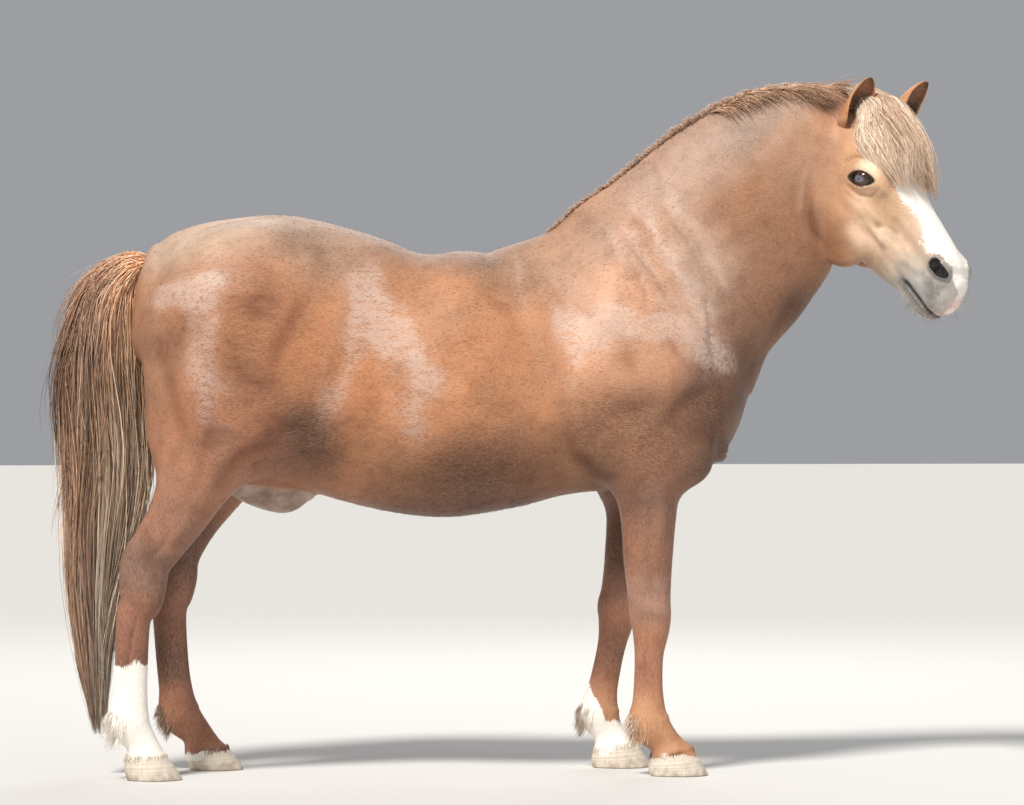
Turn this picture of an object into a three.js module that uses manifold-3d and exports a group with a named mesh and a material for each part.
// A small stout horse standing square with its head turned to its right. Millimetres, +X forward,
// +Y to the horse's left, +Z up, hooves on Z = 0. The flesh is one smooth body described by tapering
// tubes and swellings; it is lofted part by part, joined, and then parted by thin cuts.
import * as THREE from 'three';
import { mergeVertices } from 'three/addons/utils/BufferGeometryUtils.js';
import Module from 'manifold-3d';

// ---------------------------------------------------------------- driving dimensions
const GAP = 0.3;               // clearance between touching pieces
const TRUNK_BACK = -590;       // point of the buttock, from the midpoint of the barrel
const TRUNK_FRONT = 598;       // point of the breast
const BARREL_HALF_WIDTH = 232;
const HIND_TRACK = 112;        // hind foot, out from the middle line
const FORE_TRACK = 100;        // fore foot, out from the middle line
const HEAD_ORIGIN = [805, -46, 1318];
const HEAD_YAW = 45;           // degrees, toward the right
const HEAD_PITCH = 46;         // degrees, nose down
const EYE_PLACE = [159, 76, -31];      // in the head's frame: along the face, out, up from the nose line
const EYE_RADIUS = 20;
const EAR_LENGTH = 113;
const EAR_HALF_WIDTH = 28;
const EAR_WALL = 5;
const EAR_WRAP = [158, 98];    // half the turn of the leaf round its axis, at its foot and above its middle
const EAR_RINGS = [-0.12, 0.05, 0.2, 0.36, 0.52, 0.68, 0.82, 0.93];   // parts of its length
const FORE_HOOF_HALF_WIDTH = 50;
const HIND_HOOF_HALF_WIDTH = 46.5;
const CORONET_NARROWING = 0.84;        // width of a hoof's top beside its sole
const HEEL_DRAW = 0.2;                 // how much narrower a hoof is at its heels
const HEEL_CLEFT = 0.14;               // depth of the notch between the heels, of half the hoof's length
const HOOF_RINGS = [[0.9, 1], [0.16, 2]];      // height down from the top as a part, bulge
const MANE_START = [[205, 1098], [262, 1128]]; // over the withers: x, z
const MANE_HEIGHT = 17;
const MANE_HALF_WIDTHS = [9, 34];      // at the withers and behind the ears
const FORELOCK_DEPTH = 44;
const FORELOCK_RINGS = [2, 20];        // rings of the skull that it starts and ends on
const FORELOCK_SPREAD = [0.42, 0.5, 0.95, 0.95, 0.85, 0.75, 0.65];    // half angles from poll to tips
const NECK_BLEND = 60;         // reach of the smooth joins
const LEG_BLEND = 35;
const HEAD_BLEND = 30;

// ---------------------------------------------------------------- how finely it is cut into faces
const BODY_SIDES = 24;
const LIMB_SIDES = 12;
const HAIR_SIDES = 10;
const HOOF_SIDES = 20;
const EAR_SIDES = 7;
const EYE_SIDES = 12;
const CAP_STEPS = [0.9, 0.62, 0.3];    // rings of a rounded end, as parts of its length
const RINGS_PER_STRETCH = 4;           // read off between one row of a table and the next
const TAKE = { trunk: 4, neck: 3, head: 2, limb: 3, tail: 5, sheath: 4 };         // every n-th ring is used
const SPARE = { body: 60, head: 34, limb: 12, tail: 20, sheath: 10 };  // how far flesh may stand off a tube
const SHORTEST_EDGE = 0.05;

// ---------------------------------------------------------------- colours
const finish = (color, roughness) => new THREE.MeshStandardMaterial({ color, roughness, metalness: 0 });
const COAT = finish(0x9a5b38, 0.6);
const FACE = finish(0xb98a66, 0.6);
const HAIR = finish(0x8d7057, 0.75);
const HORN = finish(0xcdbfa8, 0.55);
const EYE = finish(0x2c2320, 0.1);
const SHEATH = finish(0x9c8a7c, 0.65);

// ---------------------------------------------------------------- small vector helpers
const V = (x, y, z) => new THREE.Vector3(x, y, z);
const radians = THREE.MathUtils.degToRad;
const clamp = THREE.MathUtils.clamp;
const mix = (a, b, t) => a.map((v, i) => v + (b[i] - v) * t);

/** Rows of numbers read off at `steps` places per stretch of the Catmull-Rom curve through them. */
function through(rows, steps) {
  const ahead = rows.at(-1).map((v, i) => 2 * v - rows.at(-2)[i]);
  const p = [rows[0].map((v, i) => 2 * v - rows[1][i]), ...rows, ahead];
  const out = [];
  for (let k = 1; k < p.length - 2; k++) {
    for (let s = 0; s < steps; s++) {
      const t = s / steps;
      out.push(p[k].map((b, i) => {
        const [a, c, d] = [p[k - 1][i], p[k + 1][i], p[k + 2][i]];
        const [bend, twist] = [2 * a - 5 * b + 4 * c - d, 3 * b - a - 3 * c + d];
        return 0.5 * (2 * b + (c - a) * t + bend * t ** 2 + twist * t ** 3);
      }));
    }
  }
  return [...out, rows.at(-1)];
}

const UPWARD = V(0, 0, 1);
const FORWARD = V(1, 0, 0);

// The neck meets the trunk along a flat cut from the withers down to the breast
const NECK_CUT = { point: V(232, 0, 1119), toward: V(0.715, 0, 0.7) };
// The legs meet the trunk along a plane: reach back and forward, height of its middle, fall to the front
const LEG_REGIONS = { hind: [[-740, -180], 586, 0.28], fore: [[252, 720], 553, 0] };
const EARS = {
  ear_right: { base: V(790, -109, 1280), tip: V(831, -148, 1382), faces: V(0.35, -0.93, 0.1) },
  ear_left: { base: V(895, -37, 1300), tip: V(971, -12, 1382), faces: V(0.6, -0.7, -0.3) },
};

// ---------------------------------------------------------------- the body as a field of distances
/** A limb or trunk: rows of x, y, z, half width, reach up, reach down, roundness up, roundness down. */
class Tube {
  constructor(rows, up, caps) {
    const fine = through(rows, RINGS_PER_STRETCH);
    this.caps = caps;
    this.centres = fine.map(([x, y, z]) => V(x, y, z));
    this.sizes = fine.map((row) => row.slice(3));
    this.frames = this.centres.map((c, i) => {
      const next = this.centres[Math.min(i + 1, fine.length - 1)];
      const along = next.clone().sub(this.centres[Math.max(i - 1, 0)]).normalize();
      const upward = up.clone().addScaledVector(along, -up.dot(along)).normalize();
      return { along, up: upward, side: upward.clone().cross(along) };
    });
    const reach = Math.max(...this.sizes.flatMap((s) => s.slice(0, 3)));
    this.box = new THREE.Box3().setFromPoints(this.centres).expandByScalar(reach + 60);
  }

  field(p) {
    if (!this.box.containsPoint(p)) return 1000;
    let best = { d: Infinity };
    for (let i = 0; i < this.centres.length - 1; i++) {
      const a = this.centres[i];
      const step = this.centres[i + 1].clone().sub(a);
      const t = clamp(p.clone().sub(a).dot(step) / step.lengthSq(), 0, 1);
      const q = p.clone().sub(a).addScaledVector(step, -t);
      if (q.lengthSq() < best.d) best = { d: q.lengthSq(), i, t, q };
    }
    const { i, t, q } = best;
    const [width, high, low, bowUp, bowDown] = mix(this.sizes[i], this.sizes[i + 1], t);
    const [f, g] = [this.frames[i], this.frames[i + 1]];
    const part = (name) => q.dot(f[name].clone().lerp(g[name], t));
    const up = part('up');
    const bow = up > 0 ? bowUp : bowDown;
    const [across, tall] = [Math.abs(part('side') / width), Math.abs(up / (up > 0 ? high : low))];
    let shell = (across ** bow + tall ** bow) ** (1 / bow);
    const atStart = i === 0 && t === 0;
    const atEnd = i === this.centres.length - 2 && t === 1;
    if (atStart || atEnd) shell = Math.hypot(shell, part('along') / this.caps[atEnd ? 1 : 0]);
    return shell > 1e-4 ? q.length() * (1 - 1 / shell) : -Math.min(width, high);
  }
}

/** A swelling: an ellipsoid with a long axis and a rough up. */
class Swelling {
  constructor(centre, reach, long, up) {
    this.centre = V(...centre);
    this.reach = reach;
    const x = V(...long).normalize();
    const z = V(...up).addScaledVector(x, -V(...up).dot(x)).normalize();
    this.axes = [x, z.clone().cross(x), z];
  }

  field(p) {
    const q = p.clone().sub(this.centre);
    const k = Math.hypot(...this.axes.map((axis, i) => q.dot(axis) / this.reach[i]));
    return k > 1e-4 ? q.length() * (1 - 1 / k) : -Math.min(...this.reach);
  }
}

/** Smooth union: the smaller distance, rounded where the two lie within k of each other. */
function join(a, b, k) {
  const h = clamp(0.5 + 0.5 * (b - a) / k, 0, 1);
  return b * (1 - h) + a * h - k * h * (1 - h);
}
const carve = (a, b, k) => -join(-a, b, k);
const mirrored = (p) => V(p.x, Math.abs(p.y), p.z);

// Barrel, rump and breast: x, height of the widest point, half width, top, bottom, roundness up and down
const TRUNK_STATIONS = [
  [TRUNK_BACK, 880, 90, 1060, 800, 2, 2],
  [-545, 876, 152, 1091, 696, 2, 2],
  [-470, 866, 198, 1111, 618, 2.1, 2],
  [-380, 850, 216, 1121, 574, 2.2, 2.1],
  [-296, 830, 218, 1106, 561, 2.2, 2.2],
  [-216, 806, 214, 1082, 553, 2.2, 2.3],
  [-136, 780, 220, 1052, 531, 2.2, 2.3],
  [-56, 760, 230, 1046, 514, 2.2, 2.3],
  [24, 752, BARREL_HALF_WIDTH, 1046, 510, 2.2, 2.3],
  [104, 752, 222, 1042, 526, 2, 2.3],
  [185, 765, 202, 1064, 548, 1.7, 2.2],
  [265, 780, 186, 1086, 558, 1.6, 2.2],
  [346, 790, 176, 1100, 560, 1.8, 2.2],
  [430, 790, 170, 1060, 566, 2, 2.1],
  [506, 785, 146, 1000, 604, 2, 2],
  [530, 788, 126, 972, 634, 2, 2],
  [554, 792, 104, 940, 668, 2, 2],
  [578, 796, 76, 900, 708, 2, 2],
  [TRUNK_FRONT, 799, 40, 850, 756, 2, 2],
];
// Neck, from inside the shoulders to the poll: x, y, z, half width, up to the crest, down to the throat
const NECK_STATIONS = [
  [350, 0, 875, 160, 214, 205, 1.7, 2],
  [425, 0, 945, 146, 250, 235, 1.6, 2],
  [500, -1, 1018, 122, 237, 228, 1.55, 2],
  [578, -4, 1090, 104, 230, 218, 1.55, 2],
  [655, -10, 1148, 94, 220, 190, 1.6, 2],
  [722, -22, 1192, 88, 204, 150, 1.7, 2],
  [775, -40, 1226, 82, 172, 112, 2, 2],
];
// Muscles on each side: centre, reaches, long axis, up axis, blend
const MUSCLES = [
  [[-415, 112, 880], [190, 108, 200], [1, 0, -0.1], [0, 0, 1], 60], // haunch
  [[-508, 95, 745], [180, 80, 98], [0.1, 0, 1], [1, 0, 0], 50],  // buttock
  [[330, 112, 800], [200, 72, 120], [0.35, 0, 1], [1, 0, 0], 50], // shoulder
  [[398, 117, 645], [124, 62, 80], [1, 0, -0.25], [0, 0, 1], 45], // upper arm
  [[504, 60, 760], [100, 66, 64], [0.3, 0, 1], [1, 0, 0], 40],   // breast
];
// Head, in its own frame: along the face, height of the widest point, half width, top, bottom, roundness
const SKULL_STATIONS = [
  [-30, -86, 60, 22, -158, 2.2, 2.2],
  [20, -72, 76, 44, -190, 2.2, 2.2],
  [75, -66, 86, 53, -204, 2.2, 2.1],
  [125, -62, 88, 50, -208, 2.2, 2],
  [175, -68, 80, 30, -206, 2.3, 2],
  [220, -78, 64, 13, -196, 2.4, 2],
  [262, -88, 53, 5, -182, 2.5, 2.1],
  [305, -92, 46, 1, -170, 2.5, 2.3],
  [345, -92, 44, -4, -160, 2.4, 2.4],
  [385, -92, 46, -12, -154, 2.3, 2.4],
  [415, -92, 45, -23, -145, 2.2, 2.3],
  [434, -90, 40, -36, -129, 2.2, 2.2],
];
// Face: raised (1) or hollowed (-1), centre, reaches, long axis, up axis, blend
const FACE_FORMS = [
  [1, [128, 52, -118], [98, 34, 86], [0.88, 0, -0.47], [0.47, 0, 0.88], 30],   // jowl
  [1, [180, 42, -156], [74, 24, 69], [1, 0, 0], [0, 0, 1], 20],                // angle of the jaw
  [1, [152, 68, -12], [52, 22, 30], [1, 0, -0.1], [0, 0, 1], 26],              // brow
  [1, [160, 70, -34], [30, 17, 26], [1, 0, 0], [0, 0, 1], 14],                 // lids
  [1, [212, 50, -76], [60, 16, 15], [0.95, 0, -0.3], [0.3, 0, 0.95], 22],      // cheek ridge
  [1, [394, 32, -50], [34, 18, 30], [0.9, 0, -0.4], [0.4, 0, 0.9], 18],        // wing of the nostril
  [1, [408, 0, -138], [34, 30, 20], [1, 0, 0.1], [0, 0, 1], 14],               // chin
  [-1, [285, 0, -200], [110, 18, 32], [1, 0, 0.05], [0, 0, 1], 16],            // groove under the jaw
  [-1, [404, 46, -56], [15, 12, 8], [0.6, 0, -0.8], [0.8, 0, 0.6], 5],         // nostril
];

// Legs, from inside the body to inside the hoof: side half width, reach forward, reach back at each joint
const HIND_SECTIONS = [
  [96, 150, 165], [88, 128, 136], [66, 82, 86], [48, 58, 62], [39, 50, 54], [35, 47, 54], [34, 47, 49],
  [33, 43, 44],
  [28, 34, 37], [23, 32, 35], [24, 33, 36], [30, 40, 43], [27, 31, 33], [36, 40, 42], [40, 46, 46],
];
const FORE_SECTIONS = [
  [78, 95, 95], [70, 78, 70], [50, 58, 57], [42, 49, 50], [37, 44, 43], [38, 42, 43], [33, 37, 38],
  [23, 29, 31],
  [22, 29, 30], [23, 32, 33], [31, 42, 42], [28, 32, 33], [40, 44, 46], [44, 48, 50],
];
// Middle lines of the legs: x, out from the middle, z
const LEGS = {
  hindleg_right: {
    side: -1, sections: HIND_SECTIONS, toe: -531, heel: -645, coronet: [[-562, 46], [-650, 40]],
    line: [[-425, 100, 800], [-452, 116, 690], [-496, 120, 605], [-541, 117, 517], [-577, 114, 462],
      [-600, HIND_TRACK, 425], [-608, HIND_TRACK, 385], [-613, HIND_TRACK, 350], [-626, HIND_TRACK, 315],
      [-630, HIND_TRACK, 230], [-632, HIND_TRACK, 165], [-634, HIND_TRACK, 114], [-612, HIND_TRACK, 74],
      [-602, HIND_TRACK, 40], [-598, HIND_TRACK, 22]],
  },
  hindleg_left: {
    side: 1, sections: HIND_SECTIONS, toe: -405, heel: -519, coronet: [[-434, 42], [-520, 28]],
    line: [[-400, 100, 800], [-415, 116, 690], [-450, 120, 605], [-500, 117, 517], [-528, 114, 462],
      [-541, HIND_TRACK, 425], [-545, HIND_TRACK, 385], [-550, HIND_TRACK, 350], [-553, HIND_TRACK, 315],
      [-548, HIND_TRACK, 230], [-541, HIND_TRACK, 165], [-532, HIND_TRACK, 114], [-500, HIND_TRACK, 74],
      [-485, HIND_TRACK, 40], [-476, HIND_TRACK, 22]],
  },
  foreleg_right: {
    side: -1, sections: FORE_SECTIONS, toe: 512, heel: 389, coronet: [[482, 50], [391, 34]],
    line: [[372, 108, 660], [382, 112, 590], [390, 108, 520], [391, 103, 425], [393, FORE_TRACK, 352],
      [396, FORE_TRACK, 315], [397, FORE_TRACK, 285], [394, FORE_TRACK, 240], [392, FORE_TRACK, 190],
      [392, FORE_TRACK, 148], [394, FORE_TRACK, 104], [424, FORE_TRACK, 66], [438, FORE_TRACK, 40],
      [445, FORE_TRACK, 22]],
  },
  foreleg_left: {
    side: 1, sections: FORE_SECTIONS, toe: 420, heel: 296, coronet: [[391, 48], [299, 32]],
    line: [[360, 108, 660], [372, 112, 590], [385, 108, 520], [375, 103, 425], [361, FORE_TRACK, 358],
      [353, FORE_TRACK, 325], [350, FORE_TRACK, 295], [342, FORE_TRACK, 250], [330, FORE_TRACK, 195],
      [321, FORE_TRACK, 150], [316, FORE_TRACK, 108], [334, FORE_TRACK, 70], [345, FORE_TRACK, 42],
      [350, FORE_TRACK, 22]],
  },
};
// Tail, from the dock to the tips: x, y, z, half width, reach forward, reach back
const TAIL_STATIONS = [
  [-590, 0, 1020, 26, 26, 26, 2, 2],
  [-640, 0, 1005, 34, 34, 34, 2, 2],
  [-678, 0, 950, 50, 60, 60, 2, 2],
  [-692, 0, 850, 60, 82, 78, 2, 2],
  [-690, 0, 740, 64, 92, 86, 2, 2],
  [-684, -4, 620, 60, 92, 90, 2, 2],
  [-688, -4, 500, 52, 76, 84, 2, 2],
  [-696, -4, 380, 44, 56, 74, 2, 2],
  [-700, -4, 260, 34, 40, 54, 2, 2],
  [-698, -4, 150, 24, 26, 32, 2, 2],
  [-694, -4, 80, 12, 14, 16, 2, 2],
];
const SHEATH_STATIONS = [
  [-440, 0, 590, 24, 22, 30, 2, 2],
  [-380, 0, 568, 38, 28, 38, 2, 2],
  [-326, 0, 552, 41, 26, 34, 2, 2],
  [-282, 0, 560, 28, 20, 18, 2, 2],
];

const levelTube = ([x, widest, width, top, bottom, ...bow]) => (
  [x, 0, widest, width, top - widest, widest - bottom, ...bow]);
const trunk = new Tube(TRUNK_STATIONS.map(levelTube), UPWARD, [50, 14]);
const neck = new Tube(NECK_STATIONS, V(-0.55, 0, 0.83), [80, 60]);
const skull = new Tube(SKULL_STATIONS.map(levelTube), UPWARD, [40, 22]);
const tail = new Tube(TAIL_STATIONS, FORWARD, [20, 12]);
const sheath = new Tube(SHEATH_STATIONS, UPWARD, [16, 16]);
const muscles = MUSCLES.map(([centre, reach, long, up, blend]) => (
  { form: new Swelling(centre, reach, long, up), blend }));
const faceForms = FACE_FORMS.map(([sign, centre, reach, long, up, blend]) => (
  { sign, form: new Swelling(centre, reach, long, up), blend }));
const legTubes = Object.fromEntries(Object.entries(LEGS).map(([name, leg]) => {
  const rows = leg.line.map(([x, out, z], i) => [x, out * leg.side, z, ...leg.sections[i], 2.2, 2.1]);
  return [name, new Tube(rows, FORWARD, [70, 14])];
}));

// The head's frame: x along the face to the lips, y to the horse's left, z up out of the face
const [yaw, pitch] = [radians(HEAD_YAW), radians(HEAD_PITCH)];
const headFrame = new THREE.Matrix4().makeBasis(
  V(Math.cos(pitch) * Math.cos(yaw), -Math.cos(pitch) * Math.sin(yaw), -Math.sin(pitch)),
  V(Math.sin(yaw), Math.cos(yaw), 0),
  V(Math.sin(pitch) * Math.cos(yaw), -Math.sin(pitch) * Math.sin(yaw), Math.cos(pitch)),
).setPosition(...HEAD_ORIGIN);
const intoHead = headFrame.clone().invert();
const inHead = (x, y, z) => V(x, y, z).applyMatrix4(headFrame);

function faceField(p) {
  const q = mirrored(p);
  return faceForms.reduce((d, { sign, form, blend }) => (
    sign > 0 ? join(d, form.field(q), blend) : carve(d, form.field(q), blend)), skull.field(q));
}

function barrelField(p) {
  const q = mirrored(p);
  const fleshed = muscles.reduce((d, { form, blend }) => join(d, form.field(q), blend), trunk.field(p));
  return join(fleshed, neck.field(p), NECK_BLEND);
}
function bodyField(p) {
  let d = barrelField(p);
  for (const leg of Object.values(legTubes)) d = join(d, leg.field(p), LEG_BLEND);
  return d;
}
const fleshField = (p) => join(bodyField(p), faceField(p.clone().applyMatrix4(intoHead)), HEAD_BLEND);

// ---------------------------------------------------------------- lofting
/** A closed mesh over rings of points; each end is drawn to a point, or to the ring's middle. */
function loft(rings, endPoints = []) {
  const n = rings[0].length;
  const middle = (ring) => ring.reduce((sum, p) => sum.add(p), V(0, 0, 0)).divideScalar(n);
  const ends = [endPoints[0] ?? middle(rings[0]), endPoints[1] ?? middle(rings.at(-1))];
  const points = [...rings.flat(), ...ends];
  const faces = [];
  const last = (rings.length - 1) * n;
  for (let i = 0; i < n; i++) {
    const j = (i + 1) % n;
    for (let r = 0; r < rings.length - 1; r++) {
      const [a, b, c, d] = [r * n + i, r * n + j, (r + 1) * n + j, (r + 1) * n + i];
      faces.push([a, b, c], [a, c, d]);
    }
    faces.push([points.length - 2, j, i], [points.length - 1, last + i, last + j]);
  }
  return outward(points, faces);
}

/** Positions and faces as a closed geometry whose faces point out. */
function outward(points, faces) {
  const volume = faces.reduce((sum, [a, b, c]) => sum + points[a].dot(points[b].clone().cross(points[c])), 0);
  const order = volume < 0 ? ([a, b, c]) => [a, c, b] : (face) => face;
  const geometry = new THREE.BufferGeometry();
  geometry.setAttribute('position', new THREE.Float32BufferAttribute(points.flatMap((p) => p.toArray()), 3));
  geometry.setIndex(faces.flatMap(order));
  return geometry;
}

/** Where a ray out of `from` leaves the field, looking inward from `reach`. */
function surfaceAlong(field, from, direction, reach, step = 6) {
  const at = (r) => from.clone().addScaledVector(direction, r);
  if (field(at(reach)) < 0) return at(reach);
  let outer = reach;
  while (outer > step && field(at(outer - step)) > 0) outer -= step;
  let inner = Math.max(outer - step, 0.5);
  for (let k = 0; k < 12; k++) {
    const half = (inner + outer) / 2;
    if (field(at(half)) > 0) outer = half;
    else inner = half;
  }
  return at(inner);
}

/** A tube's rings, each drawn out to the surface of a field but no further than `spare` past the tube. */
function castTube(tube, field, { sides, every, spare, grow = 0, caps = true, between }) {
  const [first, final] = between ?? [0, tube.centres.length - 1];
  const lift = typeof grow === 'function' ? grow : () => grow;
  const rings = [];
  const ring = (i, shift, shrink) => {
    const { along, up, side } = tube.frames[i];
    const centre = tube.centres[i].clone().addScaledVector(along, shift);
    const [width, high, low] = tube.sizes[i];
    rings.push(Array.from({ length: sides }, (_, k) => {
      const angle = (2 * Math.PI * k) / sides;
      const direction = side.clone().multiplyScalar(Math.cos(angle)).addScaledVector(up, Math.sin(angle));
      const tall = Math.sin(angle) > 0 ? high : low;
      const own = 1 / Math.hypot(Math.cos(angle) / width, Math.sin(angle) / tall);
      const p = surfaceAlong(field, centre, direction, own * shrink + spare);
      return p.addScaledVector(direction, lift(i, sides, k));
    }));
  };
  const tip = (i, sign) => tube.centres[i].clone()
    .addScaledVector(tube.frames[i].along, sign * (tube.caps[sign > 0 ? 1 : 0] + lift(i, 1, 0)));
  if (caps) for (const s of CAP_STEPS) ring(first, -tube.caps[0] * s, Math.sqrt(1 - s * s));
  for (let i = first; i < final; i += every) ring(i, 0, 1);
  ring(final, 0, 1);
  if (caps) for (const s of CAP_STEPS.toReversed()) ring(final, tube.caps[1] * s, Math.sqrt(1 - s * s));
  return loft(rings, caps ? [tip(first, -1), tip(final, 1)] : []);
}

// ---------------------------------------------------------------- solids for joining and cutting
const wasm = await Module();
wasm.setup();

function solid(geometry) {
  const bare = geometry.clone();
  bare.deleteAttribute('normal');
  bare.deleteAttribute('uv');
  const merged = mergeVertices(bare, 1e-4);
  return new wasm.Manifold(new wasm.Mesh({
    numProp: 3,
    vertProperties: new Float32Array(merged.attributes.position.array),
    triVerts: new Uint32Array(merged.index.array),
  }));
}

/** The largest body of a solid, without the crumbs that a cut leaves beside it. */
const mainBody = (shape) => shape.decompose().sort((a, b) => b.volume() - a.volume())[0];

/** A named mesh of a solid's largest body, with the slivers beside its cuts merged away. */
function meshOf(name, shape, material) {
  const { vertProperties, triVerts } = mainBody(shape.simplify(SHORTEST_EDGE)).getMesh();
  const geometry = new THREE.BufferGeometry();
  geometry.setAttribute('position', new THREE.BufferAttribute(vertProperties, 3));
  geometry.setIndex(new THREE.BufferAttribute(triVerts, 1));
  geometry.computeVertexNormals();
  const mesh = new THREE.Mesh(geometry, material);
  mesh.name = name;
  return mesh;
}

/** A block whose face passes through `point` and that lies on the side `toward` points to. */
function block(point, toward, size = 1600) {
  const geometry = new THREE.BoxGeometry(size, size, size);
  const turn = new THREE.Quaternion().setFromUnitVectors(UPWARD, toward.clone().normalize());
  const centre = point.clone().addScaledVector(toward.clone().normalize(), size / 2);
  return solid(geometry.applyQuaternion(turn).translate(...centre));
}

// ---------------------------------------------------------------- flesh
const loose = 2 * GAP;         // a ray meets slanting skin at an angle, so it is grown by more than the gap
const bodyCast = (tube, every, grow) => (
  solid(castTube(tube, barrelField, { sides: BODY_SIDES, every, spare: SPARE.body, grow })));
const castTrunk = (grow) => bodyCast(trunk, TAKE.trunk, grow);
const castNeck = (grow) => bodyCast(neck, TAKE.neck, grow);
function castHead(grow, options = {}) {
  const fineness = { sides: BODY_SIDES, every: TAKE.head, spare: SPARE.head };
  return solid(castTube(skull, faceField, { ...fineness, grow, ...options }).applyMatrix4(headFrame));
}
function castLimb(name, grow) {
  const fineness = { sides: LIMB_SIDES, every: TAKE.limb, spare: SPARE.limb };
  return solid(castTube(legTubes[name], bodyField, { ...fineness, grow, caps: false }));
}

const grownHead = castHead(loose);
const grownNeck = castNeck(loose);
function beyondCut(gap) {
  const { point, toward } = NECK_CUT;
  return block(point.clone().addScaledVector(toward, gap), toward);
}
const neckFlesh = mainBody(castNeck(0).intersect(beyondCut(GAP)).subtract(grownHead));
const trunkAndLegs = Object.keys(legTubes)
  .reduce((sum, name) => sum.add(castLimb(name, 0)), castTrunk(0)).subtract(beyondCut(0));

/** A box region for a pair of legs, its top sloping down toward the front. */
function legRegion([back, front], top, slope, grow) {
  const [long, tall] = [front - back + 2 * grow, 800];
  const box = new THREE.BoxGeometry(long, 800, tall).translate(0, 0, -tall / 2 + grow);
  box.rotateY(Math.atan(slope));
  return solid(box.translate((back + front) / 2, 0, top));
}
const trunkFlesh = Object.values(LEG_REGIONS).reduce(
  (rest, region) => rest.subtract(legRegion(...region, GAP)), trunkAndLegs);

// ---------------------------------------------------------------- legs and hooves
/** A hoof: its top ring in the coronet's plane, its sole flat on the floor, the heels drawn in and cleft. */
function hoof({ side, coronet, toe, heel, line }, halfWidth) {
  const track = line.at(-1)[1] * side;
  const [front, back] = coronet;
  const outline = (middle, halfLength, wide, level) => Array.from({ length: HOOF_SIDES }, (_, k) => {
    const angle = (2 * Math.PI * k) / HOOF_SIDES;
    const rear = (1 - Math.cos(angle)) / 2;
    const cleft = HEEL_CLEFT * Math.exp(-(((angle - Math.PI) / 0.3) ** 2));
    const x = middle + halfLength * Math.cos(angle) * (1 - cleft);
    return V(x, track + wide * Math.sin(angle) * (1 - HEEL_DRAW * rear ** 2), level(x));
  });
  const coronetLevel = (x) => back[1] + ((x - back[0]) * (front[1] - back[1])) / (front[0] - back[0]) - GAP;
  const narrow = halfWidth * CORONET_NARROWING;
  const top = outline((front[0] + back[0]) / 2, (front[0] - back[0]) / 2, narrow, coronetLevel);
  const sole = outline((toe + heel) / 2, (toe - heel) / 2, halfWidth, () => 0);
  const between = (t, bulge) => top.map((p, k) => {
    const q = p.clone().lerp(sole[k], t);
    q.x += Math.cos((2 * Math.PI * k) / HOOF_SIDES) * bulge;
    q.y += Math.sin((2 * Math.PI * k) / HOOF_SIDES) * bulge;
    return q;
  });
  return loft([sole, ...HOOF_RINGS.map((place) => between(...place)), top]);
}

const hooves = [];
const legs = Object.entries(LEGS).map(([name, leg]) => {
  const region = LEG_REGIONS[name.startsWith('hind') ? 'hind' : 'fore'];
  const ownSide = block(V(0, leg.side * GAP, 0), V(0, leg.side, 0));
  const whole = trunkAndLegs.intersect(legRegion(...region, 0)).intersect(ownSide);
  const [[xf, zf], [xb, zb]] = leg.coronet;
  const flesh = whole.intersect(block(V(xf, 0, zf), V(zb - zf, 0, xf - xb)));
  const halfWidth = name.startsWith('hind') ? HIND_HOOF_HALF_WIDTH : FORE_HOOF_HALF_WIDTH;
  hooves.push(meshOf(name.replace('leg', 'hoof'), solid(hoof(leg, halfWidth)), HORN));
  return meshOf(name, flesh, COAT);
});

// ---------------------------------------------------------------- eyes and ears
const eyes = [];
let faceFlesh = castHead(0);
for (const [name, side] of [['right', -1], ['left', 1]]) {
  const [along, out, up] = EYE_PLACE;
  const ball = (radius) => new THREE.SphereGeometry(radius, EYE_SIDES, 8)
    .translate(along, out * side, up).applyMatrix4(headFrame);
  faceFlesh = faceFlesh.subtract(solid(ball(EYE_RADIUS + GAP)));
  eyes.push(meshOf(`eye_${name}`, solid(ball(EYE_RADIUS)), EYE));
}

/** An ear: a leaf rolled round its axis, open the way it faces, drawn to a point; or that ear filled in. */
function ear({ base, tip, faces }, plug = false) {
  const along = tip.clone().sub(base).normalize();
  const front = faces.clone().addScaledVector(along, -faces.dot(along)).normalize();
  const across = along.clone().cross(front);
  const ringAt = (t) => {
    const wide = EAR_HALF_WIDTH * (0.92 + 1.1 * t) * Math.sqrt(1 - t) + (plug ? 4 * GAP : 0);
    const arc = (radius, a) => base.clone()
      .addScaledVector(along, t * EAR_LENGTH)
      .addScaledVector(front, -radius * 0.8 * Math.cos(a))
      .addScaledVector(across, radius * Math.sin(a));
    if (plug) return Array.from({ length: 12 }, (_, k) => arc(wide * 1.04, (2 * Math.PI * k) / 12));
    const wrap = radians(THREE.MathUtils.lerp(...EAR_WRAP, Math.min(1, 1.6 * t)));
    const inner = Math.max(wide - EAR_WALL * (1 - 0.45 * t), wide * 0.35);
    const turns = Array.from({ length: EAR_SIDES }, (_, k) => wrap * ((2 * k) / (EAR_SIDES - 1) - 1));
    return [...turns.map((a) => arc(wide, a)), ...turns.reverse().map((a) => arc(inner, a * 0.97))];
  };
  return solid(loft(EAR_RINGS.map(ringAt), [undefined, tip]));
}
const ears = Object.entries(EARS).map(([name, place]) => (
  meshOf(name, mainBody(ear(place).subtract(grownHead).subtract(grownNeck)), COAT)));
const earPlugs = ear(EARS.ear_right, true).add(ear(EARS.ear_left, true));

// ---------------------------------------------------------------- hair
const grownTrunk = ['hindleg_right', 'hindleg_left'].reduce(
  (sum, name) => sum.add(castLimb(name, loose)), castTrunk(loose));
const castAlone = (tube, name) => castTube(
  tube, (p) => tube.field(p), { sides: HAIR_SIDES, every: TAKE[name], spare: SPARE[name] });
const tailHair = solid(castAlone(tail, 'tail')).subtract(grownTrunk);

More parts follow.
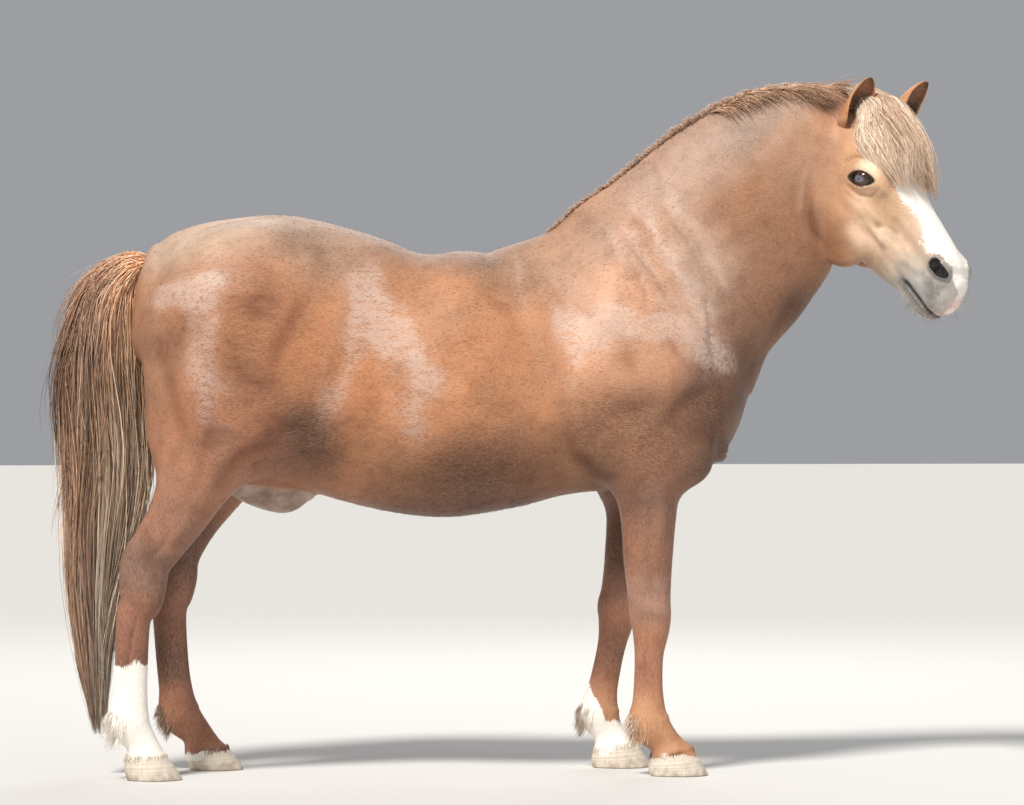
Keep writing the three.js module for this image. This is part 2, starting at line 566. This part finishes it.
/** The forelock's lift over the skull: narrow between the ears, wide on the brow, thin at its tips. */
function liftedBrow(ring, sides, k) {
  const t = clamp((ring - FORELOCK_RINGS[0]) / (FORELOCK_RINGS[1] - FORELOCK_RINGS[0]), 0, 1);
  const fromTop = Math.abs((2 * Math.PI * k) / sides - Math.PI / 2);
  const spread = FORELOCK_SPREAD[Math.floor(0.999 * t * FORELOCK_SPREAD.length)];
  const across = Math.min(fromTop, 2 * Math.PI - fromTop) / spread;
  const depth = FORELOCK_DEPTH * Math.min(1, 0.35 + 2.2 * t) * (1 - 0.55 * t ** 2);
  return across < 1 ? depth * Math.sqrt(1 - across ** 2) : -8;
}
const castForelock = (grow) => (
  castHead((...place) => liftedBrow(...place) + grow, { between: FORELOCK_RINGS, caps: false }));
const forelock = mainBody(castForelock(0).subtract(grownHead).subtract(grownNeck).subtract(earPlugs));
const grownForelock = castForelock(loose);

/** The upright mane: a ridge along the crest of the neck, from the withers to behind the ears. */
function maneRidge() {
  const crest = MANE_START.map(([x, z]) => V(x, 0, z));
  for (let i = 2; i < neck.centres.length; i += 3) {
    crest.push(surfaceAlong(fleshField, neck.centres[i], neck.frames[i].up, 330));
  }
  for (const back of [-40, 0]) crest.push(surfaceAlong(fleshField, inHead(back, 0, 0), UPWARD, 120));
  const rings = crest.map((p, i) => {
    const t = i / (crest.length - 1);
    const halfWide = THREE.MathUtils.lerp(...MANE_HALF_WIDTHS, t ** 3);
    const tall = MANE_HEIGHT * Math.min(1, 0.35 + 2.4 * t);
    return Array.from({ length: 8 }, (_, k) => {
      const angle = (2 * Math.PI * k) / 8;
      return p.clone().add(V(0, halfWide * Math.cos(angle), tall * Math.sin(angle)));
    });
  });
  return solid(loft(rings));
}
const besideMane = [grownTrunk, grownNeck, grownHead, grownForelock, earPlugs];
const mane = besideMane.reduce((rest, beside) => rest.subtract(beside), maneRidge());
const sheathSkin = solid(castAlone(sheath, 'sheath')).subtract(grownTrunk);

const group = new THREE.Group();
group.add(meshOf('trunk', trunkFlesh, COAT), meshOf('neck', neckFlesh, COAT));
group.add(meshOf('head', faceFlesh, FACE));
group.add(...legs, ...hooves, ...eyes, ...ears, meshOf('tail', tailHair, HAIR));
group.add(meshOf('forelock', forelock, HAIR), meshOf('mane', mane, HAIR));
group.add(meshOf('sheath', sheathSkin, SHEATH));

// The origin is at the middle of the overall box, on the floor
const bounds = new THREE.Box3().setFromObject(group);
const middle = bounds.getCenter(V(0, 0, 0));
group.position.set(-middle.x, -middle.y, -bounds.min.z);
export default group;
